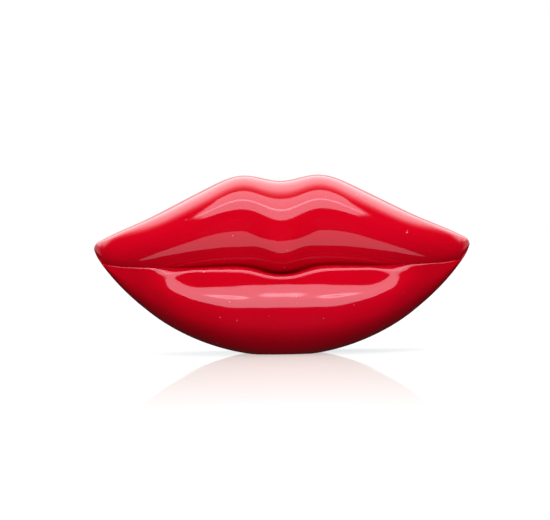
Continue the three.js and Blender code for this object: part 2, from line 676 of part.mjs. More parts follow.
function makeHookSwitch() {
  const { x, y, tip, flange, stem, flangeZ } = HOOK;
  const plunger = join(
    rodZ(x, y, tip, 0.05, flangeZ + 0.2),
    rodZ(x, y, flange, flangeZ, flangeZ + 1.2),
    rodZ(x, y, stem, flangeZ + 1, LEVER.z - FIT, 16),
  );
  piece("hook_plunger", plunger, BLACK);

  const [from, to, turns, coil] = [flangeZ + 1.9, GUIDE_Z - 0.7, 4, 3.7];
  const helix = Array.from({ length: turns * 10 + 1 }, (_, i) => {
    const a = (2 * Math.PI * i) / 10;
    return [x + coil * Math.cos(a), y + coil * Math.sin(a), from + ((to - from) * i) / (turns * 10)];
  });
  piece("hook_spring", tube(helix, 0.35, turns * 10, 5), STEEL);

  const foot = FLOOR_TOP + FIT;
  const walls = [-1, 1].map((side) => block(side * 14 - 1.3, side * 14 + 1.3, y - 6, y + 6, foot, 34));
  const flanges = [-1, 1].map((side) =>
    block(side * 18 - 3.6, side * 18 + 3.6, y - 6, y + 6, foot, foot + 2),
  );
  const guide = block(-14, 14, y - 6, y + 6, GUIDE_Z, GUIDE_Z + 2);
  const roof = block(-14, 14, y - 6, y + 6, SWITCH.z1 + FIT, 34);
  const bracket = cut(
    join(...walls, ...flanges, guide, roof),
    rodZ(x, y, stem + 0.4, GUIDE_Z - 1, GUIDE_Z + 3, 16),
    ...[-18, 18].map((sx) => rodZ(sx, y, 1.45, FLOOR_TOP, foot + 3, 12)),
  );
  piece("hook_bracket", bracket, BLACK);
  [-18, 18].forEach((sx, i) => {
    const head = rodZ(sx, y, 2.6, foot + 2 + FIT, foot + 3.8, 12);
    piece(`bracket_screw_${i + 1}`, join(head, rodZ(sx, y, 1.1, 2.1, foot + 3, 12)), STEEL);
  });
  makeHookContacts(y);
}

// The switch that the plunger works, and the sprung lever between them.
function makeHookContacts(y) {
  const { x0, x1, z0, z1, halfY } = SWITCH;
  const { z, thick, pivotX, pivotRadius } = LEVER;
  const pivotZ = z + thick / 2;
  const pin = (radius, half) =>
    toSolid(new THREE.CylinderGeometry(radius, radius, 2 * half, 12).translate(pivotX, y, pivotZ));
  const lugs = [-1, 1].map((side) => {
    const middle = y + side * (halfY - 0.4);
    return block(x0, pivotX + 1.6, middle - 0.4, middle + 0.4, z - 1.2, z0 + 0.5);
  });
  const button = block(1, 4, y - 1, y + 1, z + thick + FIT, z0 + 0.5);
  const body = join(block(x0, x1, y - halfY, y + halfY, z0, z1), ...lugs, button);
  piece("hook_switch", cut(body, pin(pivotRadius + FIT, halfY + 1)), BLACK);
  const arm = block(pivotX, 8.5, y - 2, y + 2, z, z + thick);
  piece("hook_switch_lever", join(arm, pin(pivotRadius, halfY - 0.2)), STEEL);
}

function makeBallast() {
  const { half, y0, y1, z0, z1 } = BALLAST;
  piece("ballast_weight", chamferedBar(-half, half, y0, y1, z0, z1, 1.5), STEEL);
}

// A bar along X with its four long edges chamfered.
function chamferedBar(x0, x1, y0, y1, z0, z1, chamfer) {
  const loop = (x) => [
    [x, y0 + chamfer, z0], [x, y1 - chamfer, z0], [x, y1, z0 + chamfer], [x, y1, z1 - chamfer],
    [x, y1 - chamfer, z1], [x, y0 + chamfer, z1], [x, y0, z1 - chamfer], [x, y0, z0 + chamfer],
  ];
  return loft([loop(x0), loop(x1)]);
}

// ---- Fasteners and feet ----

function makeFasteners() {
  COVER_SCREWS.forEach(([x, z], i) => {
    const head = turned(x, z, [[0, 24.8], [SCREW.head, 24.8], [SCREW.head, 26], [2.2, 26.8], [0, 26.8]], 14);
    const cross = [
      block(x - 1.6, x + 1.6, 26, 28, z - 0.35, z + 0.35),
      block(x - 0.35, x + 0.35, 26, 28, z - 1.6, z + 1.6),
    ];
    piece(`cover_screw_${i + 1}`, cut(join(head, rodY(x, z, SCREW.shank, 10, 25, 12)), ...cross), STEEL);
  });
  FEET.forEach(([x, y], i) => piece(`foot_pad_${i + 1}`, rodZ(x, y, 4, 0, 1.6, 20), RUBBER));
}

makeFrontShell();
makeRearCover();
makeKeypad();
makeMainBoard();
makeLineJack();
makeSliders();
makeReceiver();
makeMicrophone();
makeLeads();
makeHookSwitch();
makeBallast();
makeFasteners();

export default phone;
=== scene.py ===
"""Looks for the novelty lips telephone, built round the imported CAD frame.

The scene is in metres, +Z up, and the lips face -Y. The shapes are written in millimetres.
"""

import json
import math

import bmesh
import bpy
import numpy as np
from mathutils import Matrix, Vector


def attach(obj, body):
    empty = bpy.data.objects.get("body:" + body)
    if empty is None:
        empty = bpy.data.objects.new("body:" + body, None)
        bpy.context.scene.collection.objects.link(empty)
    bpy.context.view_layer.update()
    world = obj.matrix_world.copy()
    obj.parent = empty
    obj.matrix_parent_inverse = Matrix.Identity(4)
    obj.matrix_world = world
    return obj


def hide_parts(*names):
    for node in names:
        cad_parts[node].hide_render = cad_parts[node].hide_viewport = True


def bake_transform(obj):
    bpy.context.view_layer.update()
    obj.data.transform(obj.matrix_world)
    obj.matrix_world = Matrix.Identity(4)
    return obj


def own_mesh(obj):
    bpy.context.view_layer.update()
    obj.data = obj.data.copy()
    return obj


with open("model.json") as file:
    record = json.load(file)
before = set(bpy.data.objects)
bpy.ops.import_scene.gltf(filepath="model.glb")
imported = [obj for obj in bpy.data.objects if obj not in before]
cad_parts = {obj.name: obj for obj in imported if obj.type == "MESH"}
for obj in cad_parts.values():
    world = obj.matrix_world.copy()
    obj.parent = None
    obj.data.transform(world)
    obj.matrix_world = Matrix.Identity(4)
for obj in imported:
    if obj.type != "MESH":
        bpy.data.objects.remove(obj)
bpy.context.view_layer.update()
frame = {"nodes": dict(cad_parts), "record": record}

MM = 0.001

# ---- The camera, and the light that the glossy lips reflect ----

VIEW_WIDTH = 0.315548  # what the frame spans at the lips
CAMERA_DISTANCE = 1.05
CAMERA_AIM = Vector((-0.004, 0.008, 0.0528))
CAMERA_ELEVATION = 1.2
CAMERA_ROLL = 0.8
SENSOR = 36.0
CLIP_END = 50


def make_camera():
    data = bpy.data.cameras.new("camera")
    data.sensor_width = SENSOR
    data.lens = SENSOR * CAMERA_DISTANCE / VIEW_WIDTH
    data.clip_end = CLIP_END
    camera = bpy.data.objects.new("camera", data)
    bpy.context.scene.collection.objects.link(camera)
    up = math.radians(CAMERA_ELEVATION)
    camera.location = CAMERA_AIM + CAMERA_DISTANCE * Vector((0, -math.cos(up), math.sin(up)))
    turn = (CAMERA_AIM - camera.location).to_track_quat("-Z", "Y").to_matrix()
    camera.rotation_euler = (turn @ Matrix.Rotation(math.radians(-CAMERA_ROLL), 3, "Z")).to_euler()
    bpy.context.scene.camera = camera


class Nodes:
    """Short-hand for building arithmetic out of shader nodes."""

    def __init__(self, tree):
        self.tree = tree

    def put(self, kind, **settings):
        node = self.tree.nodes.new(kind)
        for key, value in settings.items():
            setattr(node, key, value)
        return node

    def plug(self, socket, value):
        if isinstance(value, bpy.types.NodeSocket):
            self.tree.links.new(value, socket)
        else:
            socket.default_value = value

    def math(self, operation, *values):
        node = self.put("ShaderNodeMath", operation=operation)
        for socket, value in zip(node.inputs, values):
            self.plug(socket, value)
        return node.outputs[0]

    def ease(self, value, low, high):
        """0 below low, 1 above high, and a smooth rise between them; low may be the larger one."""
        node = self.put("ShaderNodeMapRange", interpolation_type="SMOOTHSTEP")
        self.plug(node.inputs["Value"], value)
        node.inputs["From Min"].default_value = low
        node.inputs["From Max"].default_value = high
        return node.outputs["Result"]

    def within(self, value, low, high, soft):
        return self.math(
            "MULTIPLY",
            self.ease(value, low - soft, low + soft),
            self.ease(value, high + soft, high - soft),
        )

    def product(self, *values):
        total = values[0]
        for value in values[1:]:
            total = self.math("MULTIPLY", total, value)
        return total

    def sum(self, *values):
        total = values[0]
        for value in values[1:]:
            total = self.math("ADD", total, value)
        return total


# Panels of light on a plane overhead. How far each reaches is given as slopes from the lips:
# from and to forwards (below 0 is behind the lips), half width sideways, and the softness of its edges.
# The front panel's corners are cut off: sideways + slope * forward stays below a limit.
FRONT_PANEL = {"light": 4.2, "forward": (0.0, 0.94), "half_width": 0.62, "soft": 0.03}
FRONT_CORNERS = [(2.4, 2.56), (-0.5, 0.45)]  # (slope, limit)
FRONT_TUBE = {"light": 6.0, "forward": (0.38, 0.43), "half_width": 0.6, "soft": 0.02}
BACK_PANEL = {"light": 2.4, "forward": (-1.9, -0.3), "half_width": 1.6, "soft": 0.2}
# A glow behind the lips, which fades in between two values of each part of the direction.
HORIZON = {"light": 0.9, "y": (-0.05, 0.25), "z": (-0.03, 0.0)}
FILL = 0.03

# Broad light from the camera's side: its spread and its height above level, in degrees.
FRONT_FILL = {"strength": 1.3, "spread": 40, "height": 8}
# A low panel that faces up in front of the lips, for the gloss under the upper lip to mirror.
LOW_PANEL = {"radiance": 1.5, "size": (0.2, 0.27), "place": (0, -0.175, 0.03)}


def make_world():
    """A dark studio with panels of light for the gloss to mirror, and a white backdrop."""
    world = bpy.data.worlds.new("studio")
    bpy.context.scene.world = world
    world.use_nodes = True
    tree = world.node_tree
    nodes = Nodes(tree)
    direction = nodes.put("ShaderNodeSeparateXYZ")
    tree.links.new(nodes.put("ShaderNodeTexCoord").outputs["Generated"], direction.inputs[0])
    x, y, z = direction.outputs
    above = nodes.math("MAXIMUM", z, 0.001)  # never 0, because it divides
    forward = nodes.math("DIVIDE", nodes.math("MULTIPLY", y, -1.0), above)
    sideways = nodes.math("DIVIDE", nodes.math("ABSOLUTE", x), above)

    def below(value, limit, soft):
        return nodes.ease(value, limit + soft, limit - soft)

    def panel(box, corners=()):
        soft = box["soft"]
        across = below(sideways, box["half_width"], soft)
        along = nodes.within(forward, *box["forward"], soft)
        cuts = [
            below(nodes.math("MULTIPLY_ADD", forward, slope, sideways), limit, soft)
            for slope, limit in corners
        ]
        return nodes.product(across, along, box["light"], *cuts)

    behind = nodes.math("MULTIPLY", nodes.ease(y, *HORIZON["y"]), nodes.ease(z, *HORIZON["z"]))
    panels = [panel(FRONT_PANEL, FRONT_CORNERS), panel(FRONT_TUBE), panel(BACK_PANEL)]
    studio = nodes.sum(*panels, nodes.math("MULTIPLY", behind, HORIZON["light"]), FILL)
    seen = nodes.put("ShaderNodeLightPath").outputs["Is Camera Ray"]
    strength = nodes.put("ShaderNodeMix", data_type="FLOAT")
    nodes.plug(strength.inputs["Factor"], seen)
    nodes.plug(strength.inputs["A"], studio)
    nodes.plug(strength.inputs["B"], 1.0)
    tree.links.new(strength.outputs[0], tree.nodes["Background"].inputs["Strength"])
    tree.nodes["Background"].inputs["Color"].default_value = (1, 1, 1, 1)


def make_front_fill():
    """A broad light that the gloss does not mirror."""
    light = bpy.data.lights.new("front_fill", "SUN")
    light.energy = FRONT_FILL["strength"]
    light.angle = math.radians(FRONT_FILL["spread"])
    fill = bpy.data.objects.new("front_fill", light)
    fill.rotation_euler = (math.radians(90 - FRONT_FILL["height"]), 0, 0)
    fill.visible_glossy = False
    bpy.context.scene.collection.objects.link(fill)


def make_low_panel():
    light = bpy.data.lights.new("low_panel", "AREA")
    light.shape = "RECTANGLE"
    light.size, light.size_y = LOW_PANEL["size"]
    light.energy = LOW_PANEL["radiance"] * math.pi * light.size * light.size_y
    panel = bpy.data.objects.new("low_panel", light)
    panel.location = LOW_PANEL["place"]
    panel.rotation_euler = (math.pi, 0, 0)
    panel.visible_camera = False
    bpy.context.scene.collection.objects.link(panel)


make_camera()
make_world()
make_front_fill()
make_low_panel()
bpy.context.scene.view_settings.view_transform = "Standard"

# ---- Outlines and sections of the lips, in millimetres ----

HALF_WIDTH = 107.8
LINE_END = 108  # how far the lines below reach from the middle
CORNER_Z = 60.8
CORNER_START = 105.2  # from here the outline turns round the corner
CORNER_DEPTH_START = 96  # and from here the bulge does
CORNER_SEAM = 0.12  # least share of the height that is left under the seam
RIM_Y = 8.5
PARTING_Y = 16.0
LOWER_RADIUS = 127.0
LOWER_LOWEST = -0.8
FOOT_Z = 0.4


def mirrored_spline(half):
    """Natural cubic spline through the points, mirrored about x = 0, as a function of x."""
    points = np.array([(-x, v) for x, v in reversed(half[1:])] + half, float)
    xs, vs = points.T
    n = len(xs)
    h = np.diff(xs)
    system = np.eye(n)
    right = np.zeros(n)
    for i in range(1, n - 1):
        system[i, i - 1 : i + 2] = h[i - 1], 2 * (h[i - 1] + h[i]), h[i]
        right[i] = 6 * ((vs[i + 1] - vs[i]) / h[i] - (vs[i] - vs[i - 1]) / h[i - 1])
    bend = np.linalg.solve(system, right)

    def at(x):
        i = int(np.clip(np.searchsorted(xs, x, side="right") - 1, 0, n - 2))
        a = (xs[i + 1] - x) / h[i]
        b = (x - xs[i]) / h[i]
        curve = ((a**3 - a) * bend[i] + (b**3 - b) * bend[i + 1]) * h[i] ** 2 / 6
        return a * vs[i] + b * vs[i + 1] + curve

    return at


top_line = mirrored_spline([
    (0, 98.2), (9, 99.5), (20, 101.5), (30, 100), (42, 94.8),
    (60, 85.8), (80, 76), (95, 69.6), (LINE_END, 63.2),
])
mouth_line = mirrored_spline([
    (0, 45.4), (8, 46.6), (17, 49.3), (27, 50.3), (50, 49.8), (74, 50), (95, 51), (LINE_END, 53.5),
])
upper_crest = mirrored_spline([
    (0, 32.5), (18, 29), (30, 28), (55, 25), (75, 20), (92, 15), (LINE_END, 9),
])
lower_crest = mirrored_spline([
    (0, 39.4), (30, 37.5), (50, 32.5), (66, 26), (79, 17.6), (92, 14), (LINE_END, 8.8),
])
mouth_depth = mirrored_spline([
    (0, 16.5), (40, 16.5), (60, 17), (78, 16), (92, 13), (LINE_END, 8),
])


def lower_arc(x):
    return LOWER_LOWEST + LOWER_RADIUS - math.sqrt(LOWER_RADIUS**2 - x * x)


def corner_round(x, start):
    over = max(0.0, abs(x) - start) / (HALF_WIDTH - start)
    return math.sqrt(max(0.0, 1 - over * over))


def rounded_to(x, z):
    return CORNER_Z + (z - CORNER_Z) * corner_round(x, CORNER_START)


def top_edge(x):
    return rounded_to(x, top_line(x))


def bottom_edge(x):
    return rounded_to(x, lower_arc(x))


def seam_edge(x):
    least = bottom_edge(x) + CORNER_SEAM * (top_edge(x) - bottom_edge(x))
    return max(least, rounded_to(x, mouth_line(x)))


# Each profile lists (share of its length, angle of the outward normal above level in degrees).
UPPER_LIP = [
    (0, 86), (0.1, 68), (0.2, 55), (0.26, 46), (0.44, 25),
    (0.63, 0), (0.76, -25), (0.92, -45), (1, -62),
]
UPPER_CORNER = [(0, 90), (0.1, 60), (0.24, 24), (0.5, 10), (0.75, 0), (0.9, -20), (1, -40)]
LOWER_LIP = [
    (0, 88), (0.06, 82), (0.09, 74), (0.13, 25), (0.165, 16), (0.205, 25), (0.24, 33),
    (0.27, 36), (0.3, 33), (0.36, 24), (0.47, 3), (0.61, -40), (0.78, -90), (1, -90),
]
LOWER_SIDE = [
    (0, 88), (0.06, 82), (0.09, 74), (0.13, 25), (0.17, 16), (0.225, 25), (0.28, 33),
    (0.31, 40), (0.345, 33), (0.405, 24), (0.5, 3), (0.62, -40), (0.78, -90), (1, -90),
]
LOWER_TIP = [
    (0, 70), (0.05, 55), (0.08, 47), (0.14, 45), (0.22, 44), (0.28, 40),
    (0.34, 26), (0.4, 12), (0.52, -8), (0.64, -40), (0.78, -90), (1, -90),
]
LOWER_CORNER = [
    (0, 75), (0.04, 55), (0.07, 20), (0.12, 8), (0.35, 0),
    (0.55, -14), (0.7, -45), (0.82, -90), (1, -90),
]
# Each later profile takes over from the one before it between two distances from the middle.
UPPER_PROFILES = UPPER_LIP, [(60, 96, UPPER_CORNER)]
LOWER_PROFILES = LOWER_LIP, [(5, 32, LOWER_SIDE), (47, 71, LOWER_TIP), (71, 82, LOWER_CORNER)]
PROFILE_STEPS = 360
BOW_WIDTH = 11.5  # of the dip in the middle of the lips
BOW_DROP = 2.8  # how much lower the upper lip's skin lies in the dip
BOW_LIFT = 4.6  # how much higher the lower lip's skin lies there, so that the dip fades out


def smoothstep(x, low, high):
    t = min(1.0, max(0.0, (x - low) / (high - low)))
    return t * t * (3 - 2 * t)


def angles_at(profiles, x, share):
    first, later = profiles
    angle = np.interp(share, *zip(*first))
    for start, stop, profile in later:
        angle += (np.interp(share, *zip(*profile)) - angle) * smoothstep(abs(x), start, stop)
    return angle


def lip_curve(profiles, x, drop, start, crest, end, count):
    """(depth, fall) down one lip: the depth goes from start out to crest and back to end."""
    share = (np.arange(PROFILE_STEPS) + 0.5) / PROFILE_STEPS
    angle = np.radians(angles_at(profiles, x, share))
    out = np.concatenate([[0], np.cumsum(np.sin(angle))])
    down = np.concatenate([[0], np.cumsum(np.cos(angle))])
    peak = int(out.argmax())
    rising = start + (crest - start) * out / out[peak]
    falling = end + (crest - end) * (out - out[-1]) / (out[peak] - out[-1])
    depth = np.where(np.arange(PROFILE_STEPS + 1) <= peak, rising, falling)
    pick = np.linspace(0, PROFILE_STEPS, count + 1).round().astype(int)
    return depth[pick], down[pick] * drop / down[-1]


def section(x, count):
    """The lips' skin at x: rows of (x, y, z) from the top of the rim, round the front, to its bottom."""
    edge = corner_round(x, CORNER_DEPTH_START)
    top, seam, bottom = top_edge(x), seam_edge(x), bottom_edge(x)
    upper, mouth, lower = upper_crest(x) * edge, mouth_depth(x) * edge, lower_crest(x) * edge
    over, over_fall = lip_curve(UPPER_PROFILES, x, top - seam, 0, upper, mouth, count)
    under, under_fall = lip_curve(LOWER_PROFILES, x, seam - bottom, mouth, lower, 0, count)
    bow = math.exp(-((x / BOW_WIDTH) ** 2))
    share = over_fall / over_fall[-1]
    over_fall = over_fall + BOW_DROP * bow * (1 - (1 - share) ** 4) * (1 - share**4)
    share = under_fall / under_fall[-1]
    under_fall = under_fall - BOW_LIFT * bow * (1 - (1 - share) ** 8) * (1 - share) ** 2
    depth = np.concatenate([over, under[1:]])
    z = np.concatenate([top - over_fall, seam - under_fall[1:]])
    return np.column_stack([np.full_like(z, x), RIM_Y - depth, np.maximum(z, FOOT_Z)])


# ---- Mesh helpers: every size is in millimetres ----


def mesh_object(name, vertices, faces):
    mesh = bpy.data.meshes.new(name)
    mesh.from_pydata([tuple(v * MM for v in p) for p in vertices], [], faces)
    shape = bmesh.new()
    shape.from_mesh(mesh)
    bmesh.ops.recalc_face_normals(shape, faces=shape.faces)
    shape.to_mesh(mesh)
    shape.free()
    obj = bpy.data.objects.new(name, mesh)
    bpy.context.scene.collection.objects.link(obj)
    return obj


def loft(name, loops):
    """A closed solid through loops of equal length, with flat ends."""
    n = len(loops[0])
    vertices = [tuple(p) for loop in loops for p in loop]
    faces = [tuple(range(n)), tuple(range(len(vertices) - n, len(vertices)))]
    for i in range(len(loops) - 1):
        for j in range(n):
            a, b = i * n + j, i * n + (j + 1) % n
            faces.append((a, a + n, b + n, b))
    return mesh_object(name, vertices, faces)


def turned(name, x, z, profile, sides=64):
    """Turned about an axis along Y; the profile is (radius, y), closed at both ends on the axis."""
    loops = [[(x + r * c, y, z + r * s) for c, s in circle(sides)] for r, y in profile]
    return loft(name, loops)


def upright(name, x, y, profile, sides=64):
    """Turned about an axis along Z; the profile is (radius, z)."""
    loops = [[(x + r * c, y + r * s, z) for c, s in circle(sides)] for r, z in profile]
    return loft(name, loops)


def circle(sides):
    turns = (2 * math.pi * i / sides for i in range(sides))
    return [(math.cos(a), math.sin(a)) for a in turns]


def rounded_loop(x, z, width, height, corner, y, steps=6):
    loop = []
    for quarter, (sx, sz) in enumerate([(1, 1), (-1, 1), (-1, -1), (1, -1)]):
        for i in range(steps + 1):
            a = math.pi / 2 * (quarter + i / steps)
            across = sx * (width / 2 - corner) + corner * math.cos(a)
            up = sz * (height / 2 - corner) + corner * math.sin(a)
            loop.append((x + across, y, z + up))
    return loop


def rounded_plate(name, x, z, width, height, corner, y0, y1, edge=0.0):
    """A plate with rounded corners that faces +Y; edge is the radius of its front edge."""
    layers = [(y0, 0.0), *rounded_edge(y1, edge, 4)] if edge else [(y0, 0.0), (y1, 0.0)]
    loops = [
        rounded_loop(x, z, width - 2 * inset, height - 2 * inset, corner - inset, y)
        for y, inset in layers
    ]
    return loft(name, loops)


def rounded_edge(y, radius, steps):
    """(y, inset) of the layers that round an edge off up to y."""
    turns = (math.pi / 2 * i / steps for i in range(steps + 1))
    return [(y - radius * (1 - math.sin(a)), radius * (1 - math.cos(a))) for a in turns]


def block(name, x0, x1, y0, y1, z0, z1):
    loops = [[(x0, y, z0), (x1, y, z0), (x1, y, z1), (x0, y, z1)] for y in (y0, y1)]
    return loft(name, loops)


def combine(obj, operation, *tools):
    """Joins, cuts or intersects obj with each tool in turn, and removes the tools."""
    for tool in tools:
        modifier = obj.modifiers.new("combine", "BOOLEAN")
        modifier.operation = operation
        modifier.solver = "MANIFOLD"
        modifier.object = tool
    result = obj.evaluated_get(bpy.context.evaluated_depsgraph_get())
    shape = bpy.data.meshes.new_from_object(result)
    obj.modifiers.clear()
    obj.data = shape
    for tool in tools:
        bpy.data.objects.remove(tool)
    return obj


def finished(obj, material, body, slot, *nodes, angle=35):
    """Shades obj smooth except at sharp edges, and ties it to its body and its CAD nodes. The slot is
    not used.
    """
    obj.data.materials.clear()
    obj.data.materials.append(material)
    obj.data.shade_smooth()
    obj.data.set_sharp_from_angle(angle=math.radians(angle))
    if nodes:
        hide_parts(*nodes)
    if body:
        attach(obj, body)
    return obj


WELD = 1e-7  # metres


def cad_copy(node):
    """A copy of a CAD node with the vertices that share a point joined, so that it can be cut."""
    obj = frame["nodes"][node].copy()
    obj.data = obj.data.copy()
    obj.name = node + "_inside"
    mesh = bmesh.new()
    mesh.from_mesh(obj.data)
    bmesh.ops.remove_doubles(mesh, verts=mesh.verts, dist=WELD)
    mesh.to_mesh(obj.data)
    mesh.free()
    bpy.context.scene.collection.objects.link(obj)
    return obj


# ---- Materials ----


def new_material(name):
    material = bpy.data.materials.new(name)
    material.use_nodes = True
    tree = material.node_tree
    return material, tree, tree.nodes["Principled BSDF"]


def add_noise(tree, scale, detail=2.0, roughness=0.5, stretch=None):
    coordinates = tree.nodes.new("ShaderNodeTexCoord").outputs["Object"]
    if stretch:
        mapping = tree.nodes.new("ShaderNodeMapping")
        mapping.inputs["Scale"].default_value = stretch
        tree.links.new(coordinates, mapping.inputs["Vector"])
        coordinates = mapping.outputs["Vector"]
    noise = tree.nodes.new("ShaderNodeTexNoise")
    noise.inputs["Scale"].default_value = scale
    noise.inputs["Detail"].default_value = detail
    noise.inputs["Roughness"].default_value = roughness
    tree.links.new(coordinates, noise.inputs["Vector"])
    return noise.outputs["Fac"]


def ramp(tree, source, stops):
    """A colour ramp over source; stops are (position, colour)."""
    node = tree.nodes.new("ShaderNodeValToRGB")
    elements = node.color_ramp.elements
    while len(elements) < len(stops):
        elements.new(0.5)
    for element, (at, colour) in zip(elements, stops):
        element.position = at
        element.color = (*colour, 1)
    tree.links.new(source, node.inputs["Fac"])
    return node.outputs["Color"]


def grey(value):
    return (value, value, value)


def add_bump(tree, shader, height, *, strength, distance):
    bump = tree.nodes.new("ShaderNodeBump")
    bump.inputs["Strength"].default_value = strength
    bump.inputs["Distance"].default_value = distance
    tree.links.new(height, bump.inputs["Height"])
    tree.links.new(bump.outputs["Normal"], shader.inputs["Normal"])


def moulded(name, dark, light, rough, grain=1500, bump=0.1, metallic=0.0, patches=40, stretch=None):
    """A material whose colour wanders between dark and light, with fine grain in its gloss."""
    material, tree, shader = new_material(name)
    colour = ramp(tree, add_noise(tree, patches, 3, stretch=stretch), [(0.3, dark), (0.7, light)])
    tree.links.new(colour, shader.inputs["Base Color"])
    fine = add_noise(tree, grain, 3, 0.6, stretch=stretch)
    gloss = ramp(tree, fine, [(0.3, grey(rough[0])), (0.7, grey(rough[1]))])
    tree.links.new(gloss, shader.inputs["Roughness"])
    shader.inputs["Metallic"].default_value = metallic
    add_bump(tree, shader, fine, strength=bump, distance=0.0001)
    return material


DUST = (0.75, 0.5, 0.5, 1)


def gloss_red():
    """Polished red plastic, with a few specks of dust."""
    material, tree, shader = new_material("gloss_red")
    nodes = Nodes(tree)
    body = ramp(tree, add_noise(tree, 14), [(0.3, (0.515, 0.0, 0.008)), (0.7, (0.575, 0.0, 0.012))])
    specks = nodes.ease(add_noise(tree, 420, 1), 0.79, 0.81)
    dusty = nodes.put("ShaderNodeMix", data_type="RGBA")
    nodes.plug(dusty.inputs["Factor"], nodes.math("MULTIPLY", specks, 0.5))
    tree.links.new(body, dusty.inputs["A"])
    nodes.plug(dusty.inputs["B"], DUST)
    tree.links.new(dusty.outputs["Result"], shader.inputs["Base Color"])
    rough = ramp(tree, add_noise(tree, 900, 4), [(0.35, grey(0.05)), (0.75, grey(0.09))])
    tree.links.new(rough, shader.inputs["Roughness"])
    shader.inputs["IOR"].default_value = 1.5
    shader.inputs["Specular Tint"].default_value = (1, 0.8, 0.95, 1)
    add_bump(tree, shader, add_noise(tree, 55, 2), strength=0.05, distance=0.0005)
    return material


TRACK_GREEN = (0.16, 0.22, 0.06, 1)


def laminate():
    """Phenolic board with tracks that show green through the lacquer."""
    material, tree, shader = new_material("board_laminate")
    nodes = Nodes(tree)
    base = ramp(tree, add_noise(tree, 120, 4), [(0.3, (0.33, 0.19, 0.06)), (0.7, (0.42, 0.26, 0.09))])
    cells = nodes.put("ShaderNodeTexVoronoi", feature="DISTANCE_TO_EDGE", distance="MANHATTAN")
    cells.inputs["Scale"].default_value = 190
    cells.inputs["Randomness"].default_value = 0.7
    tree.links.new(nodes.put("ShaderNodeTexCoord").outputs["Object"], cells.inputs["Vector"])
    tracks = nodes.ease(cells.outputs["Distance"], 0.09, 0.06)
    both = nodes.put("ShaderNodeMix", data_type="RGBA")
    nodes.plug(both.inputs["Factor"], tracks)
    tree.links.new(base, both.inputs["A"])
    nodes.plug(both.inputs["B"], TRACK_GREEN)
    tree.links.new(both.outputs["Result"], shader.inputs["Base Color"])
    shader.inputs["Roughness"].default_value = 0.42
    add_bump(tree, shader, tracks, strength=0.5, distance=0.00005)
    return material


def silicone():
    material = moulded("silicone", (0.36, 0.37, 0.38), (0.42, 0.43, 0.44), (0.45, 0.6), 900)
    shader = material.node_tree.nodes["Principled BSDF"]
    shader.inputs["Subsurface Weight"].default_value = 0.3
    shader.inputs["Subsurface Scale"].default_value = 0.002
    return material


def make_materials():
    """One material for each slot of the record."""
    return {
        "gloss_red": gloss_red(),
        "board_laminate": laminate(),
        "cover_red": moulded("cover_red", (0.45, 0, 0.006), (0.52, 0, 0.009), (0.2, 0.3), bump=0.12),
        "key_ivory": moulded("key_ivory", (0.71, 0.66, 0.53), (0.78, 0.74, 0.62), (0.3, 0.4), bump=0.08),
        "black_plastic": moulded("black_plastic", grey(0.012), grey(0.02), (0.35, 0.5), bump=0.2),
        "black_rubber": moulded("black_rubber", grey(0.018), grey(0.028), (0.7, 0.9), 2500, 0.35),
        "silicone": silicone(),
        "foam": moulded("foam", grey(0.02), grey(0.06), (0.9, 1.0), 2200, 0.8, patches=2200),
        "capacitor_sleeve": moulded(
            "capacitor_sleeve", (0.01, 0.02, 0.09), (0.02, 0.035, 0.14), (0.2, 0.35)
        ),
        "lead_insulation": moulded(
            "lead_insulation", (0.4, 0.01, 0.012), (0.5, 0.02, 0.02), (0.4, 0.5)
        ),
        "gold_plate": moulded(
            "gold_plate", (0.75, 0.5, 0.16), (0.85, 0.6, 0.24), (0.18, 0.3), metallic=1.0
        ),
        "steel": moulded(
            "steel", grey(0.5), grey(0.62), (0.22, 0.38), 1800, metallic=1.0, stretch=(1, 0.15, 1)
        ),
    }


MATERIALS = make_materials()

# ---- The front shell ----

SKIN_REACH = HALF_WIDTH - 0.02
SKIN_GRID = (200, 90)  # stations along the lips, and points down each lip
HOLLOW_REACH = 97.5
HOLLOW_GRID = (48, 24)
WALL = 2.0
JOINT_DEPTH = 1.4  # the CAD shell's inside is kept from here inwards, and so overlaps the wall
POSTS_Y = 23  # behind the ends of the posts
FEET = [(12, -8), (-12, -8), (12, 10), (-12, 10)]  # (x, y)
FOOT_SEAT = [(4.3, -1), (4.3, 1.9)]  # (radius, z)
HOOK_X, HOOK_Y = 0, 1
HOOK_HOLE = [(4.5, -1), (4.5, 6)]


def stations(reach, count):
    """The x of count + 1 stations from -reach to reach, closer together towards the corners."""
    return [reach * math.sin(math.pi / 2 * (2 * i / count - 1)) for i in range(count + 1)]


def steepness(line, x):
    """How much further a line's edge moves along Z than square to itself."""
    return math.hypot(1, line(x + 0.5) - line(x - 0.5))


def inside_top(x, inset):
    return top_line(x) - inset * steepness(top_line, x)


def inside_bottom(x, inset):
    return max(lower_arc(x) + inset * steepness(lower_arc, x), FOOT_Z + inset)


def front_body():
    """The front of the lips as one solid, from the skin back to the parting line."""
    count, points = SKIN_GRID
    loops = []
    for x in stations(SKIN_REACH, count):
        top = x, PARTING_Y, top_edge(x)
        bottom = x, PARTING_Y, max(FOOT_Z, bottom_edge(x))
        loops.append([top, *map(tuple, section(x, points)), bottom])
    return loft("lips_front", loops)


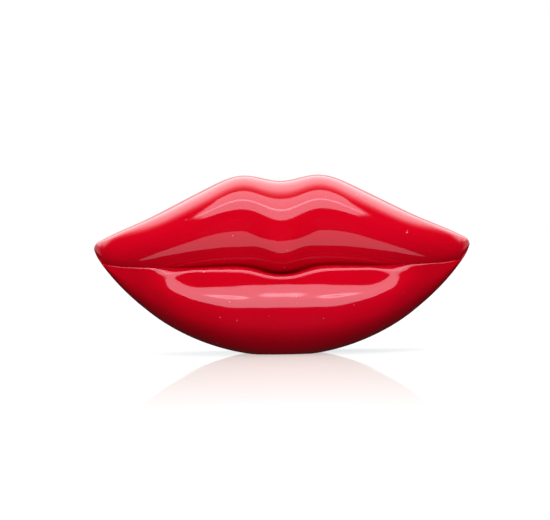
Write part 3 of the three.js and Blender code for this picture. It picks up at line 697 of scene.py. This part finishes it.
def front_hollow(wall, back_y=PARTING_Y + 1):
    """What lies deeper than wall behind the skin, up to back_y: the skin's points moved inwards."""
    count, points = HOLLOW_GRID
    grid = [section(x, points) for x in stations(HOLLOW_REACH - wall, count)]
    loops = []
    for i, row in enumerate(grid):
        x = row[0][0]
        top, bottom = inside_top(x, wall), inside_bottom(x, wall)
        across = grid[min(i + 1, len(grid) - 1)] - grid[max(i - 1, 0)]
        inner = []
        for j in range(1, len(row) - 2):
            normal = np.cross(across[j], row[j + 1] - row[j - 1])
            normal *= wall / np.linalg.norm(normal) * (1 if normal[1] > 0 else -1)
            y, z = row[j][1] + normal[1], row[j][2] + normal[2]
            inner.append((x, y, min(max(z, bottom), top)))
        loops.append([(x, back_y, top), (x, RIM_Y, top), *inner, (x, back_y, bottom)])
    return loft("hollow", loops)


def make_front_shell():
    """A fine outer skin, joined to the posts, floor and inner wall of the CAD shell."""
    inside = combine(cad_copy("front_shell"), "INTERSECT", front_hollow(JOINT_DEPTH, POSTS_Y))
    shell = combine(front_body(), "DIFFERENCE", front_hollow(WALL))
    shell = combine(shell, "UNION", inside)
    seats = [upright("foot_seat", x, y, FOOT_SEAT) for x, y in FEET]
    hole = upright("hook_hole", HOOK_X, HOOK_Y, HOOK_HOLE)
    combine(shell, "DIFFERENCE", *seats, hole)
    finished(shell, MATERIALS["gloss_red"], "handset", "gloss_red", "front_shell", angle=40)


make_front_shell()

# ---- The rear cover ----

BACK_Y = 30.0
MIDDLE_Z = 50.0  # the outline is drawn in towards this height
THROUGH = (20, 31)  # the y range of every cut through the back
# Dishes with sound holes: rings lists (how many holes, how far from the middle).
EAR = {
    "x": 68, "z": 50, "dish": 18, "depth": 2.2,
    "rings": [(1, 0), (6, 4.4), (10, 8.6)], "hole": 1.15,
}
MOUTHPIECE = {
    "x": -74, "z": 51, "dish": 9, "depth": 1.2,
    "rings": [(1, 0), (6, 4)], "hole": 0.9,
}
COVER_SCREWS = [(93, 58.5), (-93, 58.5), (38, 82), (-38, 82), (30, 14), (-30, 14)]  # (x, z)
SCREW_WELL = [(3.4, 24.5), (3.4, 31)]  # (radius, y)
SLIDERS = [(33, 23), (47, 23)]  # (x, z) of the slide switches
SLOT = (6.8, 3.4, 0.6)  # width, height and corner
SLOT_DIP = (12, 6.4, 2)
SLOT_DIP_Y = 28.9
JACK_X, JACK_Z, JACK_HALF = -40, 23, 6.3
BEZEL = {"x": -5.2, "z": 52, "width": 69, "height": 43.4, "corner": 4}
BEZEL_Y = 29.1
BEZEL_SEAT_Y = 28.8
BEZEL_GAP = 0.3
PLATE_EDGE = 0.25
COVER_KEY_GAP, BEZEL_KEY_GAP = 0.25, 0.35  # round each key
COVER_LAYERS = [(16.4, 0.4), (19.5, 0.7), (23.5, 1.7), (26.8, 3.4), (29, 5.8), (30, 8.6)]  # (y, inset)
COVER_STEPS = 26
COVER_SMOOTHING = 1.1
OUTLINE_STATIONS = 150
# (y, inset, reach from the middle) of what is kept of the CAD cover, and of the fine cover's hollow.
KEPT_LAYERS = [(10, 1.6, 96), (17, 1.6, 96), (22, 2.6, 95), (25, 4.4, 93), (27.2, 7.2, 90)]
HOLLOW_LAYERS = [(15, 2.6, 94), (22, 3.4, 93), (25, 5.4, 91), (26.9, 8.6, 88.5)]
INNER_STATIONS = 60


def outline(y, inset):
    """The lips' outline at depth y, drawn in all round."""
    side = stations(SKIN_REACH, OUTLINE_STATIONS)
    shrink_x, shrink_z = 1 - inset / LINE_END, 1 - inset / MIDDLE_Z
    tops = [(x, top_edge(x)) for x in side]
    bottoms = [(x, max(bottom_edge(x), FOOT_Z)) for x in reversed(side)]
    return [(x * shrink_x, y, MIDDLE_Z + (z - MIDDLE_Z) * shrink_z) for x, z in tops + bottoms]


def cover_body():
    """The cover's outside: the edge turns smoothly through the layers into the flat back."""
    ys, insets = np.array(COVER_LAYERS).T
    chord = np.concatenate([[0], np.cumsum(np.hypot(np.diff(ys), np.diff(insets)))])
    fine = np.linspace(0, chord[-1], COVER_STEPS)
    weights = np.exp(-(((fine[:, None] - fine[None, :]) / COVER_SMOOTHING) ** 2))
    weights[[0, -1]] = np.eye(len(fine))[[0, -1]]
    weights /= weights.sum(axis=1, keepdims=True)
    smooth_y = weights @ np.interp(fine, chord, ys)
    smooth_inset = weights @ np.interp(fine, chord, insets)
    return loft("lips_back", [outline(y, inset) for y, inset in zip(smooth_y, smooth_inset)])


def inner_loft(name, layers):
    """The lips' outline, drawn in, as a solid through (y, inset, reach) layers."""
    loops = []
    for y, inset, reach in layers:
        side = stations(reach, INNER_STATIONS)
        top = [(x, y, inside_top(x, inset)) for x in side]
        loops.append(top + [(x, y, inside_bottom(x, inset)) for x in reversed(side)])
    return loft(name, loops)


def dish(name, at):
    """A cutter for a shallow round dish in the back."""
    shares = np.linspace(1, 0.04, 14)
    rings = [(at["dish"] * share, BACK_Y - at["depth"] * (1 - share * share)) for share in shares]
    return turned(name, at["x"], at["z"], [(at["dish"], BACK_Y + 2), *rings], sides=96)


def sound_holes(at):
    holes = []
    for count, distance in at["rings"]:
        for c, s in circle(count):
            x, z = at["x"] + distance * c, at["z"] + distance * s
            holes.append(turned("hole", x, z, [(at["hole"], y) for y in THROUGH], sides=24))
    return holes


KEY_ROWS = ["123", "456", "789", "*0#"]
KEY_NAMES = {"*": "star", "#": "hash"}
ROW_PITCH, COLUMN_PITCH = 13.5, 14
KEYPAD_Z = 52
KEY_SIZE = (9.4, 10.6)
KEY_CORNER = 1.6
SMALL_KEYS = {"redial": 45, "mute": 59}  # z of each
SMALL_KEY_X = -2.45 * ROW_PITCH
SMALL_KEY_SIZE = (6, 11)


def key_places():
    """(name, legend, x, z, width, height) of every key."""
    places = []
    for row, labels in enumerate(KEY_ROWS):
        for column, label in enumerate(labels):
            x = ROW_PITCH * (1.5 - row)
            z = KEYPAD_Z + COLUMN_PITCH * (column - 1)
            places.append(("key_" + KEY_NAMES.get(label, label), label, x, z, *KEY_SIZE))
    for label, z in SMALL_KEYS.items():
        places.append(("key_" + label, label, SMALL_KEY_X, z, *SMALL_KEY_SIZE))
    return places


def key_openings(gap):
    return [
        rounded_plate("opening", x, z, width + 2 * gap, height + 2 * gap, KEY_CORNER + gap, *THROUGH)
        for _, _, x, z, width, height in key_places()
    ]


def make_rear_cover():
    """A fine outside, joined to the seats, posts and tongue of the CAD cover, with its openings cut."""
    inside = combine(cad_copy("rear_cover"), "INTERSECT", inner_loft("kept", KEPT_LAYERS))
    cover = combine(cover_body(), "DIFFERENCE", inner_loft("hollow", HOLLOW_LAYERS))
    cover = combine(cover, "UNION", inside)
    wells = [turned("well", x, z, SCREW_WELL, sides=48) for x, z in COVER_SCREWS]
    dishes = [dish("ear_dish", EAR), dish("mouth_dish", MOUTHPIECE)]
    holes = [*sound_holes(EAR), *sound_holes(MOUTHPIECE)]
    slots = [rounded_plate("slot", x, z, *SLOT, *THROUGH) for x, z in SLIDERS]
    dips = [rounded_plate("dip", x, z, *SLOT_DIP, SLOT_DIP_Y, THROUGH[1]) for x, z in SLIDERS]
    jack_x = JACK_X - JACK_HALF, JACK_X + JACK_HALF
    jack_z = JACK_Z - JACK_HALF, JACK_Z + JACK_HALF
    socket = block("socket", *jack_x, *THROUGH, *jack_z)
    x, z, width, height, corner = BEZEL.values()
    seat_size = width + 2 * BEZEL_GAP, height + 2 * BEZEL_GAP, corner + BEZEL_GAP
    seat = rounded_plate("seat", x, z, *seat_size, BEZEL_SEAT_Y, THROUGH[1])
    openings = key_openings(COVER_KEY_GAP)
    combine(cover, "DIFFERENCE", *wells, *dishes, *holes, *slots, *dips, socket, seat, *openings)
    finished(cover, MATERIALS["cover_red"], "handset", "cover_red", "rear_cover", angle=32)
    level = cover.modifiers.new("level", "WEIGHTED_NORMAL")
    level.keep_sharp = True


def make_bezel():
    x, z, width, height, corner = BEZEL.values()
    size = width, height, corner
    bezel = rounded_plate("keypad_plate", x, z, *size, BEZEL_Y, BACK_Y, edge=PLATE_EDGE)
    combine(bezel, "DIFFERENCE", *key_openings(BEZEL_KEY_GAP))
    finished(bezel, MATERIALS["black_plastic"], "handset", "black_plastic", "keypad_bezel")


# ---- The keys ----

KEY_TOP_Y = 31.0
KEY_BASE_Y = 25.8
KEY_EDGE = 0.7
KEY_EDGE_STEPS = 5
KEY_DISH = 0.3
KEY_DISH_SHARES = (0.85, 0.65, 0.45, 0.25, 0.06)  # the dish's rings, as shares of the cap's size
KEY_LIP = 1.1  # how far the flange reaches past the cap
FLANGE_Y = (25.4, 26.6)
STEM_HALF = 1.8
STEM_Y = (22.2, 26)
LEGEND_SIZE, SMALL_LEGEND_SIZE = 8.0, 5.2
LEGEND_TURN = Matrix(((0, 1, 0), (0, 0, 1), (1, 0, 0)))  # reads upright with the ear end up
TYPE_WEIGHT = 0.001  # a heavier outline would fill in the 4
INK_TOP, INK_DEPTH = 0.04, 0.16  # its top above the key's face, and its thickness
MAT = {"x": -5.5, "z": 52, "width": 67, "height": 43, "corner": 2, "y0": 17.85, "y1": 18.9}
DOME = [  # (radius, y)
    (3.4, 18.8), (3.4, 19), (3.1, 19.2), (2.45, 20.9), (2.3, 21.2),
    (2, 21.3), (1.9, 21.8), (1.7, 21.9), (0.1, 21.9),
]


def key_cap(name, x, z, width, height):
    """A keycap with a rounded edge and a finger dish, on the flange and stem that hold it."""
    layers = [(KEY_BASE_Y, 0.0), *rounded_edge(KEY_TOP_Y, KEY_EDGE, KEY_EDGE_STEPS)]
    loops = [
        rounded_loop(x, z, width - 2 * inset, height - 2 * inset, KEY_CORNER - inset, y)
        for y, inset in layers
    ]
    rim = loops[-1]
    for share in KEY_DISH_SHARES:
        y = KEY_TOP_Y - KEY_DISH * (1 - share**2)
        loops.append([(x + (px - x) * share, y, z + (pz - z) * share) for px, _, pz in rim])
    cap = loft(name + "_cap", loops)
    half_x, half_z = width / 2 + KEY_LIP, height / 2 + KEY_LIP
    flange = block("flange", x - half_x, x + half_x, *FLANGE_Y, z - half_z, z + half_z)
    stem = block("stem", x - STEM_HALF, x + STEM_HALF, *STEM_Y, z - STEM_HALF, z + STEM_HALF)
    return combine(cap, "UNION", flange, stem)


def flat_mark(label):
    """The printed mark as a flat mesh, less than 1 unit tall."""
    if label in SMALL_KEYS:
        return ring_mark(open_ring=label == "redial")
    text = bpy.data.curves.new("legend", "FONT")
    text.body = label
    text.align_x, text.align_y = "CENTER", "CENTER"
    text.offset = TYPE_WEIGHT
    text.resolution_u = 4
    obj = bpy.data.objects.new("legend", text)
    mesh = bpy.data.meshes.new_from_object(obj)
    bpy.data.objects.remove(obj)
    return mesh


def ring_mark(open_ring):
    """A ring: open at one side, or closed with a bar across it."""
    inner, outer, steps = 0.26, 0.36, 36
    start = -0.8 * math.pi
    sweep = 1.6 * math.pi if open_ring else 2 * math.pi
    vertices = []
    for i in range(steps + 1):
        a = start + sweep * i / steps
        vertices += [(r * math.cos(a), r * math.sin(a), 0) for r in (inner, outer)]
    faces = [(2 * i, 2 * i + 1, 2 * i + 3, 2 * i + 2) for i in range(steps)]
    if not open_ring:
        u, v = 0.27, 0.05  # half the bar's length and width
        n = len(vertices)
        vertices += [(-u, -v, 0), (u, -v, 0), (u, v, 0), (-u, v, 0)]
        faces.append((n, n + 1, n + 2, n + 3))
    mesh = bpy.data.meshes.new("ring")
    mesh.from_pydata(vertices, [], faces)
    return mesh


def make_legend(name, label, x, z, width, height, size):
    """The mark is a thin layer of ink that follows the finger dish."""
    shape = bmesh.new()
    shape.from_mesh(flat_mark(label))
    bmesh.ops.remove_doubles(shape, verts=shape.verts, dist=1e-5)
    long_edges = [e for e in shape.edges if e.calc_length() > 0.15]
    bmesh.ops.subdivide_edges(shape, edges=long_edges, cuts=2)
    low = Vector([min(v.co[k] for v in shape.verts) for k in range(3)])
    high = Vector([max(v.co[k] for v in shape.verts) for k in range(3)])
    centre = (low + high) / 2
    for vertex in shape.verts:
        u, v = (vertex.co - centre).xy * size
        away = min(1.0, max(abs(v) / (width / 2 - KEY_EDGE), abs(u) / (height / 2 - KEY_EDGE)))
        vertex.co = Vector((u, v, KEY_TOP_Y - KEY_DISH * (1 - away**2) + INK_TOP))
    grown = bmesh.ops.extrude_face_region(shape, geom=shape.faces[:])
    for vertex in [g for g in grown["geom"] if isinstance(g, bmesh.types.BMVert)]:
        vertex.co.z -= INK_DEPTH
    bmesh.ops.recalc_face_normals(shape, faces=shape.faces)
    for vertex in shape.verts:
        vertex.co = (LEGEND_TURN @ vertex.co + Vector((x, 0, z))) * MM
    mesh = bpy.data.meshes.new(name)
    shape.to_mesh(mesh)
    shape.free()
    obj = bpy.data.objects.new(name, mesh)
    bpy.context.scene.collection.objects.link(obj)
    return obj


def make_keys():
    ink = moulded("legend_ink", grey(0.012), grey(0.022), (0.4, 0.5))
    for name, label, x, z, width, height in key_places():
        cap = key_cap(name, x, z, width, height)
        finished(cap, MATERIALS["key_ivory"], name, "key_ivory", name, angle=30)
        size = SMALL_LEGEND_SIZE if label in SMALL_KEYS else LEGEND_SIZE
        legend = make_legend(name + "_legend", label, x, z, width, height, size)
        legend.data.materials.append(ink)
        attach(legend, name)


def make_mat():
    """The silicone sheet under the keys, with a dome for each key."""
    sheet = rounded_plate("dome_mat", *MAT.values(), edge=PLATE_EDGE)
    finished(sheet, MATERIALS["silicone"], "handset", "silicone", "keypad_mat")
    for name, _, x, z, _, _ in key_places():
        dome = turned(name + "_dome", x, z, DOME, sides=32)
        finished(dome, MATERIALS["silicone"], "handset", "silicone")
        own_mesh(dome)


# ---- Screws, feet and hook ----

SCREW = [  # (radius, y)
    (0.6, 10), (1.3, 10.8), (1.4, 12), (1.4, 24.8), (3, 24.8),
    (3, 25.9), (2.8, 26.3), (2.2, 26.6), (1.2, 26.77), (0.1, 26.8),
]
CROSS_LONG, CROSS_SHORT = 1.6, 0.35  # half sizes of each arm of the screws' cross
CROSS_Y = (25.7, 28)
FOOT = [(3.6, 0), (3.85, 0.12), (4, 0.4), (4, 1.6)]  # (radius, z), as in the plunger
PLUNGER = [(3.3, 0.05), (3.8, 0.2), (4.1, 0.6), (4.1, 8.2), (6, 8.2), (6, 9.4), (2.2, 9.4), (2.2, 20.2)]
# The coil's wire runs between the two z, and the ends are where it follows the bracket and the plunger.
SPRING = {"radius": 3.7, "wire": 0.35, "turns": 4, "z": (10.1, 14.3), "top": 14.6, "bottom": 9.7}
SPRING_STEPS = 36  # in each turn


def make_cover_screws():
    for i, (x, z) in enumerate(COVER_SCREWS):
        screw = turned(f"screw_{i + 1}", x, z, SCREW, sides=48)
        cross = [
            block("cross", x - half_x, x + half_x, *CROSS_Y, z - half_z, z + half_z)
            for half_x, half_z in ((CROSS_LONG, CROSS_SHORT), (CROSS_SHORT, CROSS_LONG))
        ]
        combine(screw, "DIFFERENCE", *cross)
        finished(screw, MATERIALS["steel"], "handset", "steel", f"cover_screw_{i + 1}", angle=30)


def make_feet():
    for i, (x, y) in enumerate(FEET):
        pad = upright(f"rubber_foot_{i + 1}", x, y, FOOT)
        finished(pad, MATERIALS["black_rubber"], "handset", "black_rubber", f"foot_pad_{i + 1}")


def make_plunger():
    plunger = upright("plunger", HOOK_X, HOOK_Y, PLUNGER)
    black = MATERIALS["black_plastic"]
    finished(plunger, black, "hook_plunger", "black_plastic", "hook_plunger", angle=30)


def make_spring():
    """A coil between the plunger's flange and the bracket."""
    steps = SPRING["turns"] * SPRING_STEPS
    loops = []
    for i in range(steps + 1):
        a = 2 * math.pi * SPRING["turns"] * i / steps
        height = np.interp(i / steps, (0, 1), SPRING["z"])
        loop = []
        for c, s in circle(12):
            out = SPRING["radius"] + SPRING["wire"] * c
            x, y = HOOK_X + out * math.cos(a), HOOK_Y + out * math.sin(a)
            loop.append((x, y, height + SPRING["wire"] * s))
        loops.append(loop)
    coil = finished(loft("coil", loops), MATERIALS["steel"], None, "steel", "hook_spring", angle=60)
    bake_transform(coil)


# ---- The rest keeps its CAD shape ----


BEVEL = 0.08


def finish_cad_nodes(replaced):
    """Gives each remaining node its material, and a small bevel on its edges."""
    for part in frame["record"]["subparts"]:
        node = part["node"]
        if node in replaced:
            continue
        obj = frame["nodes"][node]
        obj.data.materials.clear()
        obj.data.materials.append(MATERIALS[part["material_slot"]])
        edge = obj.modifiers.new("edge", "BEVEL")
        edge.width = BEVEL * MM
        edge.segments = 2
        edge.limit_method = "ANGLE"
        edge.angle_limit = math.radians(40)
        smooth = obj.modifiers.new("normals", "WEIGHTED_NORMAL")
        smooth.keep_sharp = True


make_rear_cover()
make_bezel()
make_keys()
make_mat()
make_cover_screws()
make_feet()
make_plunger()
make_spring()
REPLACED = {"front_shell", "rear_cover", "keypad_bezel", "keypad_mat", "hook_plunger", "hook_spring"}
REPLACED |= {name for name, *_ in key_places()}
REPLACED |= {f"cover_screw_{i + 1}" for i in range(len(COVER_SCREWS))}
REPLACED |= {f"foot_pad_{i + 1}" for i in range(len(FEET))}
finish_cad_nodes(REPLACED)

# ---- The floor ----

FLOOR_REACH = 6
FLOOR_LIGHT = 0.86
MIRROR_SHARE_AND_PAINTED_TINT = (0.25, 0.37, 0.40)  # how much of each colour the floor mirrors in front of the lips; the glow there gives up the same share, which leaves it pink as a painted reflection of the lips
# The mirror and the painted pink of the glow come in from the first value to the second: from the front,
# the back and the sides.
MIRROR_AND_PAINTED_TINT_FRONT, MIRROR_AND_PAINTED_TINT_BACK, MIRROR_AND_PAINTED_TINT_SIDES = (-0.46, -0.04), (0.09, 0.04), (0.15, 0.09)
PAINTED_SHADOW = {"depth": 0.2, "x": 0.02, "y": 0.012, "half_length": 0.1, "half_width": 0.03}  # a painted shadow: the floor's glow is dimmed in an ellipse under the lips


def make_floor():
    """A white acrylic sheet that glows enough to read as white and mirrors faintly before the lips.
    Before the lips its glow is tinted pink as a painted reflection, and under them it is dimmed as a
    painted shadow.
    """
    material, tree, shader = new_material("floor")
    nodes = Nodes(tree)
    place = nodes.put("ShaderNodeSeparateXYZ")
    tree.links.new(nodes.put("ShaderNodeTexCoord").outputs["Object"], place.inputs[0])
    x, y, _ = place.outputs
    sides = nodes.ease(nodes.math("ABSOLUTE", x), *MIRROR_AND_PAINTED_TINT_SIDES)
    near = nodes.product(nodes.ease(y, *MIRROR_AND_PAINTED_TINT_FRONT), nodes.ease(y, *MIRROR_AND_PAINTED_TINT_BACK), sides)

    def tinted(at_far, at_near):
        node = nodes.put("ShaderNodeMix", data_type="RGBA")
        nodes.plug(node.inputs["Factor"], near)
        nodes.plug(node.inputs["A"], (*at_far, 1))
        nodes.plug(node.inputs["B"], (*at_near, 1))
        return node.outputs["Result"]

    # Painted shadow: the glow is dimmed by up to a fifth in an ellipse under the lips.
    along = nodes.math("DIVIDE", nodes.math("SUBTRACT", x, PAINTED_SHADOW["x"]), PAINTED_SHADOW["half_length"])
    across = nodes.math("DIVIDE", nodes.math("SUBTRACT", y, PAINTED_SHADOW["y"]), PAINTED_SHADOW["half_width"])
    away = nodes.math("SQRT", nodes.sum(nodes.product(along, along), nodes.product(across, across)))
    shade = nodes.math("MULTIPLY", nodes.ease(away, 1.0, 0.0), -PAINTED_SHADOW["depth"] * FLOOR_LIGHT)
    shader.inputs["Base Color"].default_value = (0.12, 0.12, 0.12, 1)
    shader.inputs["Roughness"].default_value = 0.9
    shader.inputs["Specular IOR Level"].default_value = 0
    # Painted reflection: in front of the lips the glow turns pink.
    nodes.plug(shader.inputs["Emission Color"], tinted((1, 1, 1), [1 - part for part in MIRROR_SHARE_AND_PAINTED_TINT]))
    nodes.plug(shader.inputs["Emission Strength"], nodes.sum(shade, FLOOR_LIGHT))
    mirror = nodes.put("ShaderNodeBsdfGlossy")
    mirror.inputs["Roughness"].default_value = 0.03
    nodes.plug(mirror.inputs["Color"], tinted((0, 0, 0), MIRROR_SHARE_AND_PAINTED_TINT))
    both = nodes.put("ShaderNodeAddShader")
    tree.links.new(shader.outputs[0], both.inputs[0])
    tree.links.new(mirror.outputs[0], both.inputs[1])
    tree.links.new(both.outputs[0], tree.nodes["Material Output"].inputs["Surface"])
    mesh = bpy.data.meshes.new("floor")
    far = FLOOR_REACH
    corners = [(-far, -far, 0), (far, -far, 0), (far, far, 0), (-far, far, 0)]
    mesh.from_pydata(corners, [], [(0, 1, 2, 3)])
    mesh.materials.append(material)
    floor = bpy.data.objects.new("floor", mesh)
    bpy.context.scene.collection.objects.link(floor)
    floor.visible_glossy = False
    floor.visible_diffuse = False
    floor.visible_shadow = False


make_floor()
